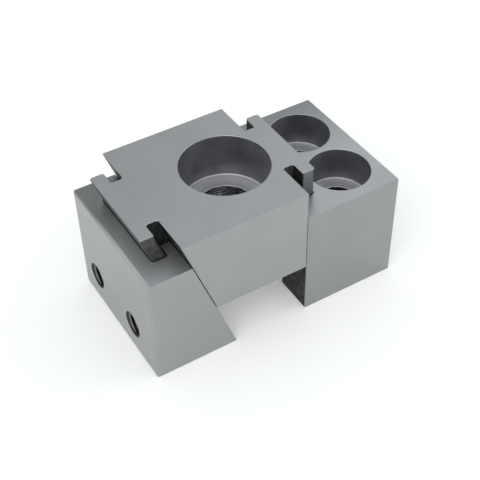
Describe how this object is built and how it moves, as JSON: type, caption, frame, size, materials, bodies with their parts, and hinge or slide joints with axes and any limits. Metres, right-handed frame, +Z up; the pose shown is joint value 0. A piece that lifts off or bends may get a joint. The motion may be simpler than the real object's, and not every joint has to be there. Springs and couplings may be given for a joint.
{
  "type": "side clamp block",
  "caption": "Steel side clamp block: a wedge with T-shaped tongues is drawn down between a fixed block and a loose jaw, and pushes the jaw out sideways against the work.",
  "frame": {"origin": "on the table, midway between the fixed block's two mounting screws", "axes": "+X from the jaw to the fixed block, +Y across the width, +Z up along the screws"},
  "size_m": [0.0672, 0.038, 0.0374],
  "materials": {
    "ground_steel": "fine ground, satin"
  },
  "bodies": {
    "base": {"fixed_block": "ground_steel"},
    "wedge": {"centre_wedge": "ground_steel"},
    "jaw": {"side_jaw": "ground_steel"}
  },
  "joints": [
    {"name": "wedge_draw", "type": "slide", "parent": "base", "child": "wedge", "axis": [0, 0, -1], "range_m": [-0.003, 0.012]},
    {"name": "jaw_slide", "type": "slide", "parent": "base", "child": "jaw", "axis": [-1, 0, 0], "range_m": [-0.0011, 0.00425]}
  ],
  "couplings": [
    {"joint": "jaw_slide", "follows": "wedge_draw", "ratio": 0.35}
  ]
}
